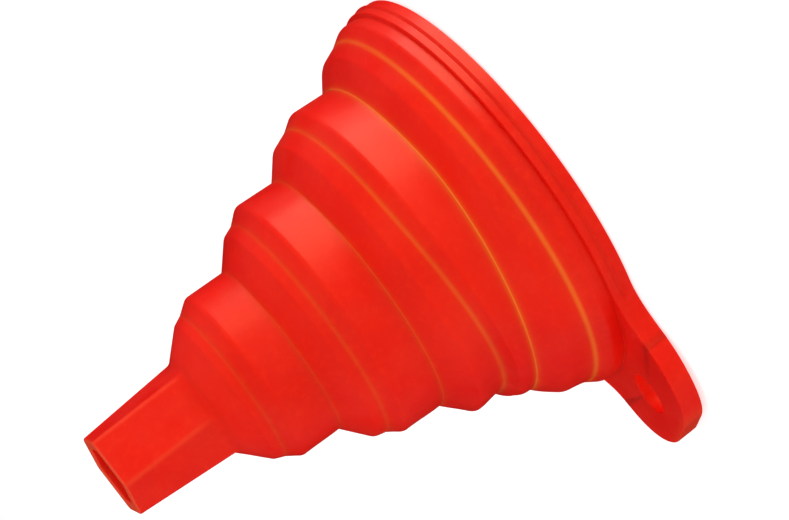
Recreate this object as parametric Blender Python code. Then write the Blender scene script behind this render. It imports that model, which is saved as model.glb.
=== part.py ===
"""Collapsible silicone funnel: a spout, three telescoping rings and a rim, joined by folding walls.

The funnel stands mouth down. The rim's flat face is at z = 0, the spout points up (+Z), and the hang
tab points along +X. The origin lies under the middle of the whole part, so the funnel's own axis is
at x = AXIS_X. Each ring slides down over the next larger one, and the thin wall between them turns
inside out, which shortens the funnel by twice that wall's height.
"""

import math
from typing import NamedTuple

import bmesh
import bpy

MM = 0.001

# Overall size
RIM_RADIUS = 37.5 * MM
TAB_REACH = 15.0 * MM  # how far the hang tab sticks out past the rim
AXIS_X = -TAB_REACH / 2
RIM_THICKNESS = 3.8 * MM
SPOUT_LENGTH = 19.5 * MM

# Walls
RING_WALL = 1.5 * MM
FOLD_WALL = 1.1 * MM
RIM_WIDTH = 3.6 * MM
GAP = 0.3 * MM  # clearance between neighbouring pieces

# Every ring starts with a shoulder, which widens to the band below it
SHOULDER_HEIGHT = 2.4 * MM

# Spout section: two main flats, joined by a ridge on each side
FLAT_HALF_WIDTH = 4.6 * MM
BASE_FLAT_DISTANCE = 7.9 * MM
BASE_RIDGE_DISTANCE = 9.7 * MM
TIP_FLAT_DISTANCE = 6.6 * MM
TIP_RIDGE_DISTANCE = 8.2 * MM
SPOUT_WALL = 2.0 * MM

# Hang tab
TAB_HALF_WIDTH = 15.5 * MM
TAB_CORNER = 10.0 * MM
TAB_FILLET = 12.0 * MM  # blends the tab's sides into the rim
TAB_ROOT_WIDTH = 0.6 * MM  # how far from the rim the fillet's thin end is cut off
TAB_THICKNESS = RIM_THICKNESS
HOLE_RADIUS = 3.75 * MM
HOLE_FROM_TIP = 8.9 * MM

# Rounding
BREAK_ROUND = 0.8 * MM  # where a wall changes its slope
RIM_ROUND = 0.7 * MM
SPOUT_ROUND = 0.7 * MM
TAB_BEVEL = 0.6 * MM

SEGMENTS = 48
ARC_STEPS = 3
TAB_ARC_STEPS = 12
HOLE_STEPS = 32

RED = (0.79, 0.016, 0.006, 1.0)


class Tier(NamedTuple):
    """One step of the funnel: a fold wall above, and the stiff ring below it. Radii are outside."""

    fold_height: float
    cone_height: float  # of the fold wall's wide upper cone
    cone_radius: float  # at that cone's lower end
    hinge_radius: float  # where the fold wall meets the ring
    ring_height: float
    radius: float  # at the foot of the ring's shoulder
    foot_radius: float  # at the ring's lower end


TIERS = (
    Tier(5.5 * MM, 3.8 * MM, 13.4 * MM, 14.1 * MM, 9.8 * MM, 16.0 * MM, 15.9 * MM),
    Tier(5.9 * MM, 3.9 * MM, 20.3 * MM, 21.0 * MM, 9.9 * MM, 23.2 * MM, 22.9 * MM),
    Tier(6.8 * MM, 3.6 * MM, 27.1 * MM, 28.3 * MM, 9.5 * MM, 30.1 * MM, 29.8 * MM),
    Tier(6.0 * MM, 3.1 * MM, 33.8 * MM, 35.0 * MM, 4.8 * MM, 36.4 * MM, 36.7 * MM),
)
RING_NAMES = ("tier_1_ring", "tier_2_ring", "tier_3_ring", "rim_collar")


def remove_everything():
    for obj in list(bpy.data.objects):
        bpy.data.objects.remove(obj, do_unlink=True)


def silicone(name):
    """Satin red silicone for one piece."""
    material = bpy.data.materials.new(name + "_silicone")
    material.use_nodes = True
    shader = material.node_tree.nodes["Principled BSDF"]
    shader.inputs["Base Color"].default_value = RED
    shader.inputs["Roughness"].default_value = 0.4
    shader.inputs["Metallic"].default_value = 0.0
    return material


def add_object(name, bm, height):
    """Turn a bmesh into a smooth-shaded object whose origin lies on the funnel's axis."""
    bmesh.ops.recalc_face_normals(bm, faces=bm.faces)
    mesh = bpy.data.meshes.new(name)
    bm.to_mesh(mesh)
    bm.free()
    mesh.shade_smooth()
    mesh.set_sharp_from_angle(angle=math.radians(35))
    mesh.materials.append(silicone(name))
    obj = bpy.data.objects.new(name, mesh)
    obj.location = (AXIS_X, 0, height)
    bpy.context.collection.objects.link(obj)
    return obj


def round_corners(points, radius, closed=False):
    """Replace the inner corners of a 2-D path, or every corner of a closed one, by arcs."""
    rounded = []
    for i, (x, y) in enumerate(points):
        if not closed and i in (0, len(points) - 1):
            rounded.append((x, y))
            continue
        before = points[i - 1]
        after = points[(i + 1) % len(points)]
        back = math.atan2(before[1] - y, before[0] - x)
        ahead = math.atan2(after[1] - y, after[0] - x)
        opening = (ahead - back + math.pi) % math.tau - math.pi
        reach = radius / abs(math.tan(opening / 2))
        centre_distance = radius / abs(math.sin(opening / 2))
        middle = back + opening / 2
        centre_x = x + centre_distance * math.cos(middle)
        centre_y = y + centre_distance * math.sin(middle)
        start = (x + reach * math.cos(back), y + reach * math.sin(back))
        start_angle = math.atan2(start[1] - centre_y, start[0] - centre_x)
        sweep = -math.copysign(math.pi - abs(opening), opening)
        for step in range(ARC_STEPS + 1):
            angle = start_angle + sweep * step / ARC_STEPS
            rounded.append((centre_x + radius * math.cos(angle), centre_y + radius * math.sin(angle)))
    return rounded


def inner_side(outer, wall):
    """Offset a falling (radius, height) path inwards, ending at the same two heights."""
    lines = []
    for (r0, z0), (r1, z1) in zip(outer, outer[1:]):
        slope = (r1 - r0) / (z1 - z0)
        shift = wall * math.hypot(1, slope)
        lines.append((r0 - slope * z0 - shift, slope))
    heights = [outer[0][1]]
    for (base_a, slope_a), (base_b, slope_b) in zip(lines, lines[1:]):
        heights.append((base_b - base_a) / (slope_a - slope_b))
    heights.append(outer[-1][1])
    lines_at_points = [lines[0]] + lines
    return [(base + slope * z, z) for (base, slope), z in zip(lines_at_points, heights)]


def wall_outline(outer, wall):
    """Closed outline of a wall: its outer path down, and the offset path back up."""
    down = round_corners(outer, BREAK_ROUND)
    up = round_corners(inner_side(outer, wall), BREAK_ROUND)[::-1]
    return down + up


def closed_loft(name, loops, height):
    """Join equal loops into a closed skin, the last loop to the first one."""
    bm = bmesh.new()
    rows = [[bm.verts.new(point) for point in loop] for loop in loops]
    for row, next_row in zip(rows, rows[1:] + rows[:1]):
        for i, vert in enumerate(row):
            j = (i + 1) % len(row)
            bm.faces.new((vert, next_row[i], next_row[j], row[j]))
    return add_object(name, bm, height)


def turned(name, outline, height):
    """Revolve a closed (radius, height) outline about the funnel's axis."""
    loops = []
    for step in range(SEGMENTS):
        angle = math.tau * step / SEGMENTS
        loops.append([(r * math.cos(angle), r * math.sin(angle), z) for r, z in outline])
    return closed_loft(name, loops, height)


def make_fold(name, top_radius, tier, top):
    """The thin wall that turns inside out. Its origin is at its upper end."""
    outer = [
        (top_radius, -GAP / 2),
        (tier.cone_radius, -tier.cone_height),
        (tier.hinge_radius, -tier.fold_height + GAP / 2),
    ]
    turned(name, wall_outline(outer, FOLD_WALL), top)


def make_ring(name, tier, top):
    """A stiff ring: a shoulder and a band. Its origin is at its upper end."""
    outer = [
        (tier.hinge_radius, -GAP / 2),
        (tier.radius, -SHOULDER_HEIGHT),
        (tier.foot_radius, -tier.ring_height + GAP / 2),
    ]
    turned(name, wall_outline(outer, RING_WALL), top)


def spout_base():
    """Height at which the spout meets the first fold wall."""
    return RIM_THICKNESS + sum(tier.fold_height + tier.ring_height for tier in TIERS)


def make_tiers():
    """Fold walls and rings from the spout down to the rim."""
    top = spout_base()
    radius = BASE_RIDGE_DISTANCE
    for number, (tier, ring_name) in enumerate(zip(TIERS, RING_NAMES), start=1):
        make_fold(f"fold_{number}", radius, tier, top)
        make_ring(ring_name, tier, top - tier.fold_height)
        top -= tier.fold_height + tier.ring_height
        radius = tier.foot_radius


def spout_section(flat_distance, ridge_distance, half_width, height):
    """Six-sided loop with rounded corners. Its ridges point along X, towards and away from the tab."""
    corners = [
        (half_width, flat_distance),
        (-half_width, flat_distance),
        (-ridge_distance, 0),
        (-half_width, -flat_distance),
        (half_width, -flat_distance),
        (ridge_distance, 0),
    ]
    return [(x, y, height) for x, y in round_corners(corners, SPOUT_ROUND, closed=True)]


def make_spout():
    """A six-sided tube that narrows a little towards its tip. Its origin is at its base."""
    narrowing = SPOUT_WALL * math.tan(math.radians(30))
    inner_half_width = FLAT_HALF_WIDTH - narrowing
    ridge_wall = SPOUT_WALL / math.cos(math.radians(30))
    sizes = (
        (BASE_FLAT_DISTANCE, BASE_RIDGE_DISTANCE, FLAT_HALF_WIDTH, GAP / 2),
        (TIP_FLAT_DISTANCE, TIP_RIDGE_DISTANCE, FLAT_HALF_WIDTH, SPOUT_LENGTH),
    )
    outer = [spout_section(*size) for size in sizes]
    inner = [
        spout_section(flat - SPOUT_WALL, ridge - ridge_wall, inner_half_width, z)
        for flat, ridge, _, z in sizes
    ]
    closed_loft("spout_tube", [outer[0], outer[1], inner[1], inner[0]], spout_base())


def make_rim_flange():
    """The lip around the mouth. Its origin is on the rim's flat face."""
    inner_radius = RIM_RADIUS - RIM_WIDTH
    top = RIM_THICKNESS - GAP / 2
    corners = [(RIM_RADIUS, top), (RIM_RADIUS, 0), (inner_radius, 0), (inner_radius, top)]
    turned("rim_flange", round_corners(corners, RIM_ROUND, closed=True), 0)


def arc(centre_x, centre_y, radius, start, end, steps):
    """Points along an arc, both ends included."""
    angles = (start + (end - start) * step / steps for step in range(steps + 1))
    return [(centre_x + radius * math.cos(a), centre_y + radius * math.sin(a)) for a in angles]


def tab_outline():
    """The tab's plan: the root along the rim, and on each side a fillet and an end corner."""
    tip = RIM_RADIUS + TAB_REACH
    fillet_y = TAB_HALF_WIDTH + TAB_FILLET
    fillet_x = math.sqrt((RIM_RADIUS + TAB_FILLET) ** 2 - fillet_y**2)
    root_radius = RIM_RADIUS + GAP
    cut_radius = root_radius + TAB_ROOT_WIDTH
    spread = math.atan2(fillet_y, fillet_x)
    to_centre = math.hypot(fillet_x, fillet_y)
    cosine = (to_centre**2 + TAB_FILLET**2 - cut_radius**2) / (2 * to_centre * TAB_FILLET)
    fillet_start = math.pi + spread + math.acos(cosine)
    fillet = arc(fillet_x, fillet_y, TAB_FILLET, fillet_start, 1.5 * math.pi, TAB_ARC_STEPS)
    corner_x, corner_y = tip - TAB_CORNER, TAB_HALF_WIDTH - TAB_CORNER
    corner = arc(corner_x, corner_y, TAB_CORNER, math.pi / 2, 0, TAB_ARC_STEPS)
    root_angle = math.atan2(fillet[0][1], fillet[0][0])
    side = fillet + corner
    mirrored = [(x, -y) for x, y in reversed(side)]
    root = arc(0, 0, root_radius, -root_angle, root_angle, 2 * TAB_ARC_STEPS)
    return side + mirrored + root


def make_hang_tab():
    """A flat tongue with a round hang hole. Its origin is on the funnel's axis."""
    bm = bmesh.new()
    hole = arc(RIM_RADIUS + TAB_REACH - HOLE_FROM_TIP, 0, HOLE_RADIUS, 0, math.tau, HOLE_STEPS)[:-1]
    edges = []
    for loop in (tab_outline(), hole):
        verts = [bm.verts.new((x, y, 0)) for x, y in loop]
        edges += [bm.edges.new((a, b)) for a, b in zip(verts, verts[1:] + verts[:1])]
    bmesh.ops.triangle_fill(bm, use_beauty=True, edges=edges)
    lower = list(bm.faces)
    raised = bmesh.ops.extrude_face_region(bm, geom=lower)["geom"]
    upper = [item for item in raised if isinstance(item, bmesh.types.BMVert)]
    bmesh.ops.translate(bm, verts=upper, vec=(0, 0, TAB_THICKNESS))
    tab = add_object("hang_tab", bm, 0)
    bevel = tab.modifiers.new("soft_edges", "BEVEL")
    bevel.width = TAB_BEVEL
    bevel.segments = 2
    bevel.limit_method = "ANGLE"
    bevel.angle_limit = math.radians(50)


remove_everything()
make_rim_flange()
make_hang_tab()
make_tiers()
make_spout()
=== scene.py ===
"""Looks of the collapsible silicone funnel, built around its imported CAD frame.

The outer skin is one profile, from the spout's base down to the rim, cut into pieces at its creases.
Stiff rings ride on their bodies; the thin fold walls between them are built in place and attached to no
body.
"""

import math

import bmesh
import bpy
from mathutils import Matrix, Vector


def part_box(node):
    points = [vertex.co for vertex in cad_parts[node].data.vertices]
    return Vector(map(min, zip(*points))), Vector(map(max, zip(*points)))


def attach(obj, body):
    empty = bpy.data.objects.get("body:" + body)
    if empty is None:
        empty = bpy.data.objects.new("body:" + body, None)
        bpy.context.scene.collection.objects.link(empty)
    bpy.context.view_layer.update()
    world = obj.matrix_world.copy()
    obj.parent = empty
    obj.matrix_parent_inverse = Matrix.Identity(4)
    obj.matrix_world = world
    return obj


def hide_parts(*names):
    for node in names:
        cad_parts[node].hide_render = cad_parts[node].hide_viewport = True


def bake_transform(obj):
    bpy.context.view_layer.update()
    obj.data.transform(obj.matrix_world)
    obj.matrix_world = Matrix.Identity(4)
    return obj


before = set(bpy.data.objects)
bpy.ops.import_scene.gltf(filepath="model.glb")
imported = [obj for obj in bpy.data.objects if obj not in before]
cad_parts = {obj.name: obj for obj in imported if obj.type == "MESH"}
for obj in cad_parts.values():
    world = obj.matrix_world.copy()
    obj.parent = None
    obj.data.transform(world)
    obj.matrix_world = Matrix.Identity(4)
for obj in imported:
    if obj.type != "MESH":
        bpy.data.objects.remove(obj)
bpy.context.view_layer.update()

MM = 0.001

# Frame: rings and fold walls from the spout down, and the bodies
RINGS = ("tier_1_ring", "tier_2_ring", "tier_3_ring", "rim_collar")
FOLDS = ("fold_1", "fold_2", "fold_3", "fold_4")
BODIES = ("spout", "tier_1", "tier_2", "tier_3", "rim")

# Shape of the walls, as designed
RING_WALL = 1.5 * MM
FOLD_WALL = 1.0 * MM
SHOULDER_HEIGHT = 2.4 * MM
CONES = (  # the upper part of each fold wall, from the spout down: its height, radius at its lower end
    (3.8 * MM, 13.5 * MM),
    (3.9 * MM, 20.4 * MM),
    (3.6 * MM, 27.2 * MM),
    (3.1 * MM, 34.0 * MM),
)
SWELL = 0.2 * MM  # of the soft walls beyond the solids

# Towards the tab the walls are pressed out of round: height, its shift and its change of radius
SQUASH = (
    (62.0 * MM, 0.0 * MM, 0.0 * MM),
    (58.2 * MM, 0.0 * MM, 0.2 * MM),
    (54.1 * MM, 0.0 * MM, 0.0 * MM),
    (46.7 * MM, 0.0 * MM, 0.3 * MM),
    (42.8 * MM, 0.0 * MM, 0.4 * MM),
    (38.4 * MM, 0.0 * MM, -0.2 * MM),
    (30.9 * MM, 0.0 * MM, 0.4 * MM),
    (27.3 * MM, -0.6 * MM, 0.5 * MM),
    (24.1 * MM, -2.6 * MM, -1.0 * MM),
    (14.6 * MM, 2.5 * MM, 0.6 * MM),
    (8.6 * MM, 0.0 * MM, 0.0 * MM),
)
RIDGE_ROUND = 1.5 * MM  # outside corner between shoulder and band
BREAK_ROUND = 1.6 * MM  # bulge in the middle of a fold wall
CREASE_ROUND = 0.35 * MM  # concave creases

SPOUT_HALF_WIDTH = 4.6 * MM  # of its two main flats
SPOUT_WALL = 2.0 * MM
SPOUT_HALF_TURN = math.radians(30)  # half the turn at a corner of a regular six-sided section
SPOUT_EDGE_POWER = 32  # higher is sharper
SPOUT_FILLET = 0.6 * MM
SPOUT_TIP_ROUND = 0.35 * MM
# Painted highlight along the spout's edges
SPOUT_EDGE_WIDTH = 0.45 * MM
SPOUT_EDGE_GLOW = 0.45
TIP_SLANT = 1.1 * MM  # the end is cut a little lower on the +Y side

TAB_HALF_WIDTH = 16.1 * MM
TAB_SHORTER = 0.4 * MM  # than the solid
TAB_CORNER = 13.0 * MM
CHORD_ANGLE = math.radians(27)  # where the tab's mesh meets the rim's, seen from the axis
TAB_FILLET = 12.0 * MM
HOLE_RADIUS = 3.75 * MM
HOLE_FROM_TIP = 8.9 * MM
EDGE_ROUND = 0.7 * MM
FOOT_HOLLOW = 0.45 * MM  # fillet between the collar and the lip
TAB_LIFT = 0.7 * MM  # the soft tab curves up a little towards its end
TAB_LIFT_START = 1.5 * MM  # inside the rim's edge
RIM_WIDTH = 3.6 * MM

# Fineness of the meshes
AROUND = 192  # points round the funnel
ARC_STEPS = 6
LONGEST_EDGE = 0.6 * MM  # along the profile
SPOUT_ROWS = 24
END_STEPS = 6  # across half of the tab's end
CORNER_STEPS = 24
FILLET_STEPS = 16
RIM_STEPS = 84  # round half of the rim
CHORD_STEPS = 12
MOUTH_ROWS = 3  # few, so that a row is wider than the edges' rounding
HOLE_ROWS = 4

# Colours of the silicone, and of the painted light along its creases and edges
DEEP_RED = (0.80, 0.0016, 0.0003, 1)
WARM_RED = (0.86, 0.0050, 0.0006, 1)
BRIGHT_RED = (0.94, 0.020, 0.002, 1)
# orange of the painted light along the creases
CREASE_LIGHT_ORANGE = (1.0, 0.19, 0.012, 1)
# pink of the painted light at the spout's edges and end and at the tab's end
EDGE_LIGHT_PINK = (0.92, 0.085, 0.030, 1)
DUST = (0.95, 0.55, 0.38, 1)

# Scales of the material's patterns, per metre, and its roughness
CLOUDS = 55
SHEEN = 140
SPECKS = 210
WAVES = 260
MOTTLING = 900
GRAIN = 2400
SMOOTHEST = 0.30
ROUGHEST = 0.41

# How strongly painted light is laid along each tier's creases: its top, the middle of its fold wall, its
# hinge, its ridge
CREASE_GLOW = (
    (0.00, 0.0, 0.10, 0.0),
    (0.14, 0.0, 0.16, 0.0),
    (0.26, 0.0, 0.34, 0.0),
    (1.00, 0.0, 0.62, 0.0),
)
# Painted light along the creases: a thin line with a fainter halo, stronger towards one azimuth
CREASE_WIDTH = 0.14 * MM
HALO_WIDTH = 0.9 * MM  # the fainter glow on both sides of a crease
HALO_STRENGTH = 0.16
GLOW_SIDE = math.radians(45)  # azimuth where the glow is strongest
GLOW_LEAST = 0.45  # of that, on the opposite side
# Painted light at the tab's thin outer end
TAB_GLOW = 0.5
TAB_GLOW_WIDTH = 2 * MM

# Camera
CAMERA_AZIMUTH = math.radians(164.2)
CAMERA_ELEVATION = math.radians(11.6)
CAMERA_ROLL = math.radians(-126.95)
CAMERA_DISTANCE = 0.3641
CAMERA_SIDESTEP = 0.5 * MM
CAMERA_TARGET_HEIGHT = 0.0222
CAMERA_LENS = 99.6

# Studio. Both lamps are below the floor, which casts no shadow.
FLOOR_HALF_WIDTH = 4
FLOOR_DROP = 0.2 * MM
FLOOR_GREY = (0.55, 0.55, 0.55, 1)
FLOOR_GLOW = 0.65
LAMP_AIM = Vector((0, 0, 0.03))


# ---------------------------------------------------------------- measures of the frame

def axis_x():
    low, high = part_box(RINGS[0])
    return (low.x + high.x) / 2


AXIS_X = axis_x()
TAB_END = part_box("hang_tab")[1].x
LIP_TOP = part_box("hang_tab")[1].z


def radius_at(node, height):
    """Outer radius of a CAD node's turned wall at one of its ends."""
    radii = [
        math.hypot(v.co.x - AXIS_X, v.co.y)
        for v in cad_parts[node].data.vertices
        if abs(v.co.z - height) < 0.05 * MM
    ]
    return max(radii)


class Step:
    """One tier: the heights and outer radii where its wall changes direction."""

    def __init__(self, fold, ring, above):
        fold_low, fold_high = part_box(fold)
        ring_low, ring_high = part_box(ring)
        self.top = (fold_high.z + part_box(above)[0].z) / 2
        self.hinge = (fold_low.z + ring_high.z) / 2
        self.foot = ring_low.z
        self.top_radius = radius_at(fold, fold_high.z)
        self.hinge_radius = radius_at(fold, fold_low.z)
        self.radius = (ring_high.x - ring_low.x) / 2
        self.foot_radius = radius_at(ring, ring_low.z)


STEPS = [Step(f, r, a) for f, r, a in zip(FOLDS, RINGS, ("spout_tube",) + RINGS)]


# ---------------------------------------------------------------- materials

def add_node(tree, node_type, inputs, **settings):
    """Adds a node. Each input is a number, a colour, or another node's output."""
    node = tree.nodes.new(node_type)
    for key, value in settings.items():
        setattr(node, key, value)
    for key, value in inputs.items():
        if isinstance(value, bpy.types.NodeSocket):
            tree.links.new(value, node.inputs[key])
        else:
            node.inputs[key].default_value = value
    return node


def silicone(name):
    """Satin red silicone, a little translucent, with painted light along its creases and edges, fine
    mottling and rare dust specks.
    """
    material = bpy.data.materials.new(name)
    material.use_nodes = True
    tree = material.node_tree
    shader = tree.nodes["Principled BSDF"]
    shader.inputs["Subsurface Weight"].default_value = 0.25
    shader.inputs["Subsurface Radius"].default_value = (1.0, 0.10, 0.05)
    shader.inputs["Subsurface Scale"].default_value = 0.8 * MM
    shader.inputs["Specular IOR Level"].default_value = 0.45
    shader.inputs["Specular Tint"].default_value = (1.0, 0.68, 0.36, 1)

    def add(node_type, inputs, **settings):
        return add_node(tree, node_type, inputs, **settings)

    def noise(scale, detail, roughness=0.55):
        inputs = {"Vector": place, "Scale": scale, "Detail": detail, "Roughness": roughness}
        return add("ShaderNodeTexNoise", inputs).outputs["Fac"]

    def ramp(value, low, high, start=0.0, end=1.0):
        inputs = {"Value": value, "From Min": low, "From Max": high, "To Min": start, "To Max": end}
        node = add("ShaderNodeMapRange", inputs, interpolation_type="SMOOTHSTEP")
        return node.outputs["Result"]

    def mix(factor, a, b):
        # The colour sockets of a Mix node are its inputs 6 and 7 and its output 2.
        return add("ShaderNodeMix", {0: factor, 6: a, 7: b}, data_type="RGBA").outputs[2]

    def times(a, b):
        return add("ShaderNodeMath", {0: a, 1: b}, operation="MULTIPLY").outputs[0]

    place = add("ShaderNodeTexCoord", {}).outputs["Object"]
    clouds = noise(CLOUDS, 3)
    mottling = noise(MOTTLING, 4, 0.65)
    grain = noise(GRAIN, 1)

    colour = mix(ramp(clouds, 0.35, 0.65), DEEP_RED, WARM_RED)
    colour = mix(times(ramp(mottling, 0.45, 0.75), 0.35), colour, BRIGHT_RED)
    # Painted light along the creases, in orange
    crease = add("ShaderNodeAttribute", {}, attribute_name="crease").outputs["Fac"]
    # Painted light, in pink, along the spout's edges, at its end and at the tab's end
    edge_light = add("ShaderNodeAttribute", {}, attribute_name="edge").outputs["Fac"]
    colour = mix(times(crease, ramp(clouds, 0.25, 0.6, 0.75, 1.0)), colour, CREASE_LIGHT_ORANGE)
    colour = mix(times(edge_light, 0.8), colour, EDGE_LIGHT_PINK)

    cells = add("ShaderNodeTexVoronoi", {"Vector": place, "Scale": SPECKS, "Randomness": 1.0})
    picked = add("ShaderNodeSeparateColor", {"Color": cells.outputs["Color"]}).outputs[0]
    rare = ramp(picked, 0.955, 0.96)
    dot = ramp(cells.outputs["Distance"], 0.02, 0.045, 1.0, 0.0)
    speck = times(rare, dot)
    colour = mix(speck, colour, DUST)
    tree.links.new(colour, shader.inputs["Base Color"])

    sheen = ramp(noise(SHEEN, 4), 0.3, 0.7, SMOOTHEST, ROUGHEST)
    tree.links.new(sheen, shader.inputs["Roughness"])

    waves = noise(WAVES, 2)
    bump = add("ShaderNodeBump", {"Height": waves, "Strength": 0.15, "Distance": 0.10 * MM})
    fine = add(
        "ShaderNodeBump",
        {"Height": grain, "Strength": 0.10, "Distance": 0.02 * MM, "Normal": bump.outputs["Normal"]},
    )
    tree.links.new(fine.outputs["Normal"], shader.inputs["Normal"])
    return material


SILICONE = silicone("red_silicone")


# ---------------------------------------------------------------- profile

def round_corner(before, corner, after, radius):
    """Points of the arc that replaces a corner of a (radius, height) path."""
    a = (Vector(before) - Vector(corner)).normalized()
    b = (Vector(after) - Vector(corner)).normalized()
    opening = a.angle(b)
    reach = radius / math.tan(opening / 2)
    centre = Vector(corner) + (a + b).normalized() * radius / math.sin(opening / 2)
    start = Vector(corner) + a * reach - centre
    end = Vector(corner) + b * reach - centre
    sweep = math.pi - opening
    points = []
    for step in range(2 * ARC_STEPS + 1):
        t = step / (2 * ARC_STEPS)
        blend = (math.sin((1 - t) * sweep) * start + math.sin(t * sweep) * end) / math.sin(sweep)
        points.append(centre + blend)
    return points


def at_height(line, height):
    """The point of a line at a height."""
    point, along = line
    return point + along * (height - point.y) / along.y


def offset_path(path, walls):
    """The path moved inwards by each segment's wall thickness, its corners mitred."""
    lines = []
    for (p, q), wall in zip(zip(path, path[1:]), walls):
        along = (q - p).normalized()
        inward = Vector((along.y, -along.x))
        lines.append((p + inward * wall, along))
    points = [at_height(lines[0], path[0].y)]
    for (p, u), (q, v) in zip(lines, lines[1:]):
        cross = u.x * v.y - u.y * v.x
        t = ((q - p).x * v.y - (q - p).y * v.x) / cross
        points.append(p + u * t)
    points.append(at_height(lines[-1], path[-1].y))
    return points


def corners_of_walls():
    """Outer (radius, height) corners from the spout's base to the rim, with each corner's rounding and
    the wall thickness below it."""
    corners, rounds, walls = [], [], []
    for step, (cone_height, cone_radius) in zip(STEPS, CONES):
        corners += [
            (step.top_radius, step.top),
            (cone_radius, step.top - cone_height),
            (step.hinge_radius + SWELL, step.hinge),
            (step.radius + SWELL / 2, step.hinge - SHOULDER_HEIGHT),
        ]
        rounds += [CREASE_ROUND, BREAK_ROUND, CREASE_ROUND, RIDGE_ROUND]
        walls += [FOLD_WALL, FOLD_WALL, RING_WALL, RING_WALL]
    corners.append((STEPS[-1].foot_radius, STEPS[-1].foot))
    return [Vector(c) for c in corners], rounds, walls


def crease_places():
    """(radius, height, glow) of every crease of the outer wall, at the middle of its rounding."""
    path, rounds, _ = corners_of_walls()
    strengths = [glow for tier in CREASE_GLOW for glow in tier]
    creases = []
    for i, strength in enumerate(strengths):
        if strength > 0:
            place = path[i]
            if i > 0:
                place = round_corner(path[i - 1], path[i], path[i + 1], rounds[i])[ARC_STEPS]
            creases.append((place.x, place.y, strength))
    return creases


def rounded_stretches(path, rounds):
    """The rounded path between each corner's middle and the next one's, as lists of points."""
    stretches = []
    current = [path[0]]
    for i in range(1, len(path) - 1):
        arc = round_corner(path[i - 1], path[i], path[i + 1], rounds[i])
        stretches.append(current + arc[: ARC_STEPS + 1])
        current = arc[ARC_STEPS:]
    stretches.append(current + [path[-1]])
    return stretches


def subdivide(points, longest):
    """Adds points so that no part of the path is longer than the given length."""
    dense = [points[0]]
    for p, q in zip(points, points[1:]):
        count = max(1, math.ceil((q - p).length / longest))
        dense += [p.lerp(q, (k + 1) / count) for k in range(count)]
    return dense


CREASES = crease_places()


# ---------------------------------------------------------------- meshes

def smoothstep(t):
    t = min(max(t, 0), 1)
    return t * t * (3 - 2 * t)


def paint(mesh, name, values):
    """Stores a number on every vertex."""
    layer = mesh.attributes.new(name, "FLOAT", "POINT")
    layer.data.foreach_set("value", values)


def end_glow(place):
    """How much painted light a point gets near the tab's thin outer end."""
    return TAB_GLOW * smoothstep(1 - (TAB_END - place.x) / TAB_GLOW_WIDTH)


def crease_glow(radius, height, angle):
    """How much painted light a point gets, from its distance to the creases of the outer wall. The painted
    light is stronger on one side."""
    side = GLOW_LEAST + (1 - GLOW_LEAST) * smoothstep(0.5 + 0.5 * math.cos(angle - GLOW_SIDE))
    glow = 0
    for crease_radius, crease_height, strength in CREASES:
        distance = math.hypot(radius - crease_radius, height - crease_height)
        line = math.exp(-((distance / CREASE_WIDTH) ** 2))
        halo = HALO_STRENGTH * math.exp(-((distance / HALO_WIDTH) ** 2))
        glow = max(glow, side * strength * (line + halo))
    return min(glow, 1)


def add_piece(name, bm, replaced, glows=None, edges=None):
    bmesh.ops.recalc_face_normals(bm, faces=bm.faces)
    mesh = bpy.data.meshes.new(name)
    bm.to_mesh(mesh)
    bm.free()
    paint(mesh, "crease", glows or [0] * len(mesh.vertices))
    paint(mesh, "edge", edges or [end_glow(v.co) for v in mesh.vertices])
    mesh.shade_smooth()
    mesh.set_sharp_from_angle(angle=math.radians(40))
    mesh.materials.append(SILICONE)
    piece = bpy.data.objects.new(name, mesh)
    bpy.context.collection.objects.link(piece)
    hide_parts(*replaced)
    return piece


def grid(bm, loops):
    """Faces between neighbouring closed loops of vertices, all of equal length."""
    for loop, next_loop in zip(loops, loops[1:]):
        for i, vert in enumerate(loop):
            j = (i + 1) % len(loop)
            bm.faces.new((vert, next_loop[i], next_loop[j], loop[j]))


def skin(loops):
    """A closed skin through equal loops of points, the last loop joined to the first."""
    bm = bmesh.new()
    rows = [[bm.verts.new(point) for point in loop] for loop in loops]
    grid(bm, rows + rows[:1])
    return bm


def angles():
    return [math.tau * k / AROUND for k in range(AROUND)]


def squashed(radius, height, angle):
    """Where a point of the wall lies after the walls are pressed out of round towards the tab."""
    amount = max(math.cos(angle), 0) ** 1.5
    for (z0, shift0, swell0), (z1, shift1, swell1) in zip(SQUASH, SQUASH[1:]):
        if z1 <= height <= z0:
            t = smoothstep((z0 - height) / (z0 - z1))
            height += amount * (shift0 + (shift1 - shift0) * t)
            radius += amount * (swell0 + (swell1 - swell0) * t)
            break
    return radius, height


def turned(outline):
    """Skin of a closed (radius, height) outline turned about the funnel's axis, and its painted crease
    light.
    """
    loops, glows = [], []
    for p in outline:
        loop = []
        for a in angles():
            r, z = squashed(p.x, p.y, a)
            loop.append((AXIS_X + r * math.cos(a), r * math.sin(a), z))
            glows.append(crease_glow(p.x, p.y, a))
        loops.append(loop)
    return skin(loops), glows


def foot_fillet(foot):
    """Soft hollow between the collar's foot and the lip, ending inside the lip."""
    centre = Vector((foot.x + FOOT_HOLLOW, LIP_TOP + FOOT_HOLLOW))
    turns = [math.pi + math.pi / 2 * k / ARC_STEPS for k in range(ARC_STEPS + 1)]
    hollow = [centre + Vector((math.cos(t), math.sin(t))) * FOOT_HOLLOW for t in turns]
    hollow = [p for p in hollow if p.y < foot.y]
    return hollow + [Vector((foot.x + FOOT_HOLLOW, LIP_TOP - 0.5 * MM))]


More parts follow.
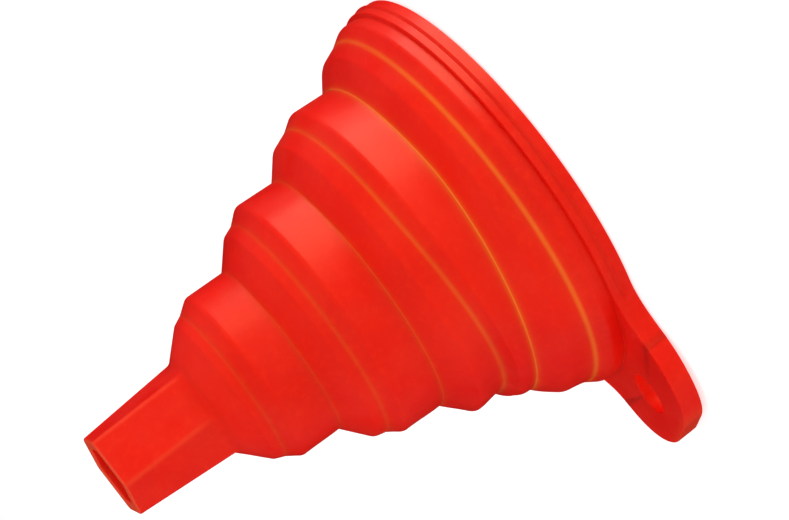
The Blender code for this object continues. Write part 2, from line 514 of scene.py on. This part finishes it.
def make_walls():
    """Fold walls and rings. Each piece has the two stretches of wall between its end creases."""
    path, rounds, walls = corners_of_walls()
    outer = rounded_stretches(path, rounds)
    inner = rounded_stretches(offset_path(path, walls), rounds)
    for number, step in enumerate(STEPS):
        for part, node in enumerate((FOLDS[number], RINGS[number])):
            first = 4 * number + 2 * part
            down = subdivide(outer[first] + outer[first + 1][1:], LONGEST_EDGE)
            up = subdivide(inner[first] + inner[first + 1][1:], LONGEST_EDGE)
            if node == RINGS[-1]:
                down += foot_fillet(down[-1])
                up.append(Vector((up[-1].x, down[-1].y)))
            bm, glows = turned(down + up[::-1])
            piece = add_piece(node + "_skin", bm, [node], glows)
            if part == 0:
                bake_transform(piece)
            else:
                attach(piece, BODIES[number + 1])


def hexagon_radius(angle, flat, ridge, half_width):
    """Polar radius of a six-sided section with softened edges, its ridges along X."""
    slant = flat * ridge / math.hypot(flat, ridge - half_width)
    slant_angle = math.atan2(ridge - half_width, flat)
    total = 0
    for normal, distance in (
        (math.pi / 2, flat),
        (-math.pi / 2, flat),
        (slant_angle, slant),
        (-slant_angle, slant),
        (math.pi - slant_angle, slant),
        (math.pi + slant_angle, slant),
    ):
        facing = math.cos(angle - normal)
        if facing > 0:
            total += (facing / distance) ** SPOUT_EDGE_POWER
    return total ** (-1 / SPOUT_EDGE_POWER)


def smooth_max(a, b, width):
    """The larger of two lengths, with a fillet of about the given width between them."""
    gap = max(width - abs(a - b), 0) / width
    return max(a, b) + gap * gap * width / 4


def spout_size(height):
    """Distances of the outer flats and ridges from the axis, from the CAD tube's two ends."""
    low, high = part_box("spout_tube")
    ends = []
    for z in (low.z, high.z):
        verts = [v.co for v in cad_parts["spout_tube"].data.vertices if abs(v.co.z - z) < 0.05 * MM]
        ends.append((max(v.y for v in verts), max(v.x for v in verts) - AXIS_X))
    t = (height - low.z) / (high.z - low.z)
    return [a + (b - a) * t for a, b in zip(*ends)]


def make_spout():
    """Six-sided tube whose base runs into the first fold wall's cone."""
    first = STEPS[0]
    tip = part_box("spout_tube")[1].z
    reach = tip - SPOUT_TIP_ROUND - first.top
    heights = [first.top + reach * (k / SPOUT_ROWS) ** 1.5 for k in range(SPOUT_ROWS + 1)]
    cone_height, cone_radius = CONES[0]
    steepness = (cone_radius - first.top_radius) / cone_height
    inner_top_radius = first.top_radius - FOLD_WALL * math.hypot(1, steepness)
    loops, edges = [], []

    def add_loop(height, inset, start_radius, wall):
        """Adds a section and how much painted light each of its points gets, along the edges and at the end.
        """
        flat, ridge = spout_size(height)
        half_width = SPOUT_HALF_WIDTH - wall * math.tan(SPOUT_HALF_TURN)
        inner_ridge = ridge - wall / math.cos(SPOUT_HALF_TURN)
        loop = []
        for a in angles():
            r = hexagon_radius(a, flat - wall, inner_ridge, half_width)
            cone = start_radius - steepness * (height - first.top)
            r = smooth_max(r - inset, cone, SPOUT_FILLET)
            x, y = r * math.cos(a), r * math.sin(a)
            rise = (height - first.top) / (tip - first.top)
            slant = TIP_SLANT * rise * (0.5 + 0.5 * y / flat)
            loop.append((AXIS_X + x, y, height - slant))
            # Painted highlight along the edges, and painted light at the end
            corner = math.hypot(abs(x) - SPOUT_HALF_WIDTH, abs(y) - flat)
            on_edge = smoothstep(rise * 4) * math.exp(-((corner / SPOUT_EDGE_WIDTH) ** 2))
            on_end = smoothstep(1 - (tip - height) / (0.4 * MM))
            edges.append(max(SPOUT_EDGE_GLOW * on_edge, on_end))
        loops.append(loop)

    for z in heights:
        add_loop(z, 0, first.top_radius, 0)
    for k in range(1, ARC_STEPS + 1):
        turn = math.pi / 2 * k / ARC_STEPS
        z = tip - SPOUT_TIP_ROUND * (1 - math.sin(turn))
        add_loop(z, SPOUT_TIP_ROUND * (1 - math.cos(turn)), 0, 0)
    for k in range(ARC_STEPS, 0, -1):
        turn = math.pi / 2 * k / ARC_STEPS
        z = tip - SPOUT_TIP_ROUND * (1 - math.sin(turn))
        add_loop(z, -SPOUT_TIP_ROUND * (1 - math.cos(turn)), 0, SPOUT_WALL)
    for z in heights[::-1]:
        add_loop(z, 0, inner_top_radius, SPOUT_WALL)
    piece = add_piece("spout_skin", skin(loops), ["spout_tube"], edges=edges)
    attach(piece, "spout")


def arc_points(centre, radius, towards):
    """Points of a circle in the given directions."""
    return [(centre[0] + radius * math.cos(a), centre[1] + radius * math.sin(a)) for a in towards]


def arc(centre, radius, start, end, steps):
    """Points along an arc, both ends included."""
    return arc_points(centre, radius, [start + (end - start) * k / steps for k in range(steps + 1)])


def tab_side():
    """Plan of half the tab, about the funnel's axis: from the middle of its end to the rim's circle."""
    low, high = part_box("rim_flange")
    radius = (high.x - low.x) / 2
    tip = TAB_END - AXIS_X - TAB_SHORTER
    fillet_y = TAB_HALF_WIDTH + TAB_FILLET
    fillet_x = math.sqrt((radius + TAB_FILLET) ** 2 - fillet_y**2)
    join = math.atan2(fillet_y, fillet_x)
    corner = (tip - TAB_CORNER, TAB_HALF_WIDTH - TAB_CORNER)
    end = [(tip, corner[1] * k / END_STEPS) for k in range(END_STEPS)]
    side = arc(corner, TAB_CORNER, 0, math.pi / 2, CORNER_STEPS)
    side += arc((fillet_x, fillet_y), TAB_FILLET, 1.5 * math.pi, math.pi + join, FILLET_STEPS)
    return end + side, radius, join


def between(a, b, rows):
    """Rows of points from loop a to loop b."""
    return [[Vector(p).lerp(Vector(q), k / rows) for p, q in zip(a, b)] for k in range(rows + 1)]


def make_rim():
    """Flat lip and hang tab in one moulding, with every edge rounded."""
    side, radius, join = tab_side()
    tip = side[0][0]

    # The plan is a ring about the mouth and a ring about the hang hole, which share a chord.
    cut = next(i for i, (x, y) in enumerate(side) if math.atan2(y, x) > CHORD_ANGLE)
    chord_end = side[cut]
    fractions = [k / CHORD_STEPS for k in range(-CHORD_STEPS, CHORD_STEPS + 1)]
    chord = [(chord_end[0], chord_end[1] * part) for part in fractions]
    rest = side[cut + 1 :] + arc((0, 0), radius, join, math.pi, RIM_STEPS)[1:]
    around_mouth = chord + rest + [(x, -y) for x, y in rest[-2::-1]]
    hole_centre = (tip + TAB_SHORTER - HOLE_FROM_TIP, 0)
    end = side[:cut]
    around_hole = chord[::-1] + [(x, -y) for x, y in end[::-1]] + end[1:]

    def on_circle(points, centre, circle_radius):
        towards = [math.atan2(y - centre[1], x - centre[0]) for x, y in points]
        return arc_points(centre, circle_radius, towards)

    bm = bmesh.new()
    mouth = on_circle(around_mouth, (0, 0), radius - RIM_WIDTH)
    hole = on_circle(around_hole, hole_centre, HOLE_RADIUS)
    places = {}

    def vertex(p):
        key = (round(p[0], 7), round(p[1], 7))
        if key not in places:
            places[key] = bm.verts.new((AXIS_X + p[0], p[1], 0))
        return places[key]

    for inner, outer, rows in ((mouth, around_mouth, MOUTH_ROWS), (hole, around_hole, HOLE_ROWS)):
        grid(bm, [[vertex(p) for p in row] for row in between(inner, outer, rows)])
    raised = bmesh.ops.extrude_face_region(bm, geom=list(bm.faces))["geom"]
    upper = [item for item in raised if isinstance(item, bmesh.types.BMVert)]
    bmesh.ops.translate(bm, verts=upper, vec=(0, 0, LIP_TOP))
    for vert in bm.verts:
        reach = (vert.co.x - AXIS_X - radius + TAB_LIFT_START) / (tip - radius)
        vert.co.z += TAB_LIFT * smoothstep(reach)
    piece = add_piece("rim_and_tab", bm, ["rim_flange", "hang_tab"])
    bevel = piece.modifiers.new("rounded_edges", "BEVEL")
    bevel.width = EDGE_ROUND
    bevel.segments = 4
    bevel.limit_method = "ANGLE"
    bevel.angle_limit = math.radians(50)
    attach(piece, "rim")


# ---------------------------------------------------------------- studio

def make_camera():
    """Camera that looks at the funnel's axis, rolled so that the spout points down and to the left."""
    az, el, roll = CAMERA_AZIMUTH, CAMERA_ELEVATION, CAMERA_ROLL
    back = Vector((math.sin(az) * math.cos(el), -math.cos(az) * math.cos(el), math.sin(el)))
    right = Vector((math.cos(az), math.sin(az), 0))
    up = back.cross(right)
    x = right * math.cos(roll) + up * math.sin(roll)
    y = up * math.cos(roll) - right * math.sin(roll)
    data = bpy.data.cameras.new("camera")
    data.lens = CAMERA_LENS
    data.clip_start = 0.01
    data.clip_end = 20
    camera = bpy.data.objects.new("camera", data)
    target = Vector((AXIS_X, 0, CAMERA_TARGET_HEIGHT)) + right * CAMERA_SIDESTEP
    matrix = Matrix((x, y, back)).transposed().to_4x4()
    matrix.translation = target + back * CAMERA_DISTANCE
    camera.matrix_world = matrix
    bpy.context.collection.objects.link(camera)
    bpy.context.scene.camera = camera


def add_softbox(name, place, size, power, glossy_only):
    """A square lamp that faces the funnel. It may light glossy rays only."""
    light = bpy.data.lights.new(name, "AREA")
    light.shape = "SQUARE"
    light.size = size
    light.energy = power
    lamp = bpy.data.objects.new(name, light)
    lamp.location = place
    lamp.rotation_mode = "QUATERNION"
    lamp.rotation_quaternion = (place - LAMP_AIM).to_track_quat("Z", "Y")
    lamp.visible_diffuse = not glossy_only
    bpy.context.collection.objects.link(lamp)
    return lamp


def make_studio():
    """Pale glowing floor, white world and two softboxes on the side of the highlights."""
    bm = bmesh.new()
    bmesh.ops.create_grid(bm, x_segments=1, y_segments=1, size=FLOOR_HALF_WIDTH)
    mesh = bpy.data.meshes.new("floor")
    bm.to_mesh(mesh)
    bm.free()
    floor = bpy.data.objects.new("floor", mesh)
    floor.location.z = -FLOOR_DROP
    material = bpy.data.materials.new("pale_floor")
    material.use_nodes = True
    shader = material.node_tree.nodes["Principled BSDF"]
    shader.inputs["Base Color"].default_value = FLOOR_GREY
    shader.inputs["Specular IOR Level"].default_value = 0.0
    shader.inputs["Emission Color"].default_value = (1, 1, 1, 1)
    shader.inputs["Emission Strength"].default_value = FLOOR_GLOW
    shader.inputs["Roughness"].default_value = 0.9
    mesh.materials.append(material)
    bpy.context.collection.objects.link(floor)
    floor.visible_glossy = False
    floor.visible_shadow = False
    floor.visible_diffuse = False

    world = bpy.data.worlds.new("studio")
    world.use_nodes = True
    background = world.node_tree.nodes["Background"]
    background.inputs["Color"].default_value = (1, 1, 1, 1)
    background.inputs["Strength"].default_value = 1.0
    bpy.context.scene.world = world
    world.cycles_visibility.glossy = False

    az = CAMERA_AZIMUTH
    right = Vector((math.cos(az), math.sin(az), 0))
    toward = Vector((math.sin(az), -math.cos(az), 0))
    aside = right * 0.8 - Vector((0, 0, 1)) * 0.6  # up in the rolled picture, and below the floor
    add_softbox("long_softbox", (aside * 0.96 + toward * 0.25) * 0.5, 0.55, 3.0, True)
    soft_key = add_softbox("soft_key", (aside * 0.9 + toward * 0.4) * 0.9, 0.5, 2.5, False)
    soft_key.visible_glossy = False
    bpy.context.scene.view_settings.view_transform = "Standard"


make_camera()
make_studio()
make_walls()
make_spout()
make_rim()
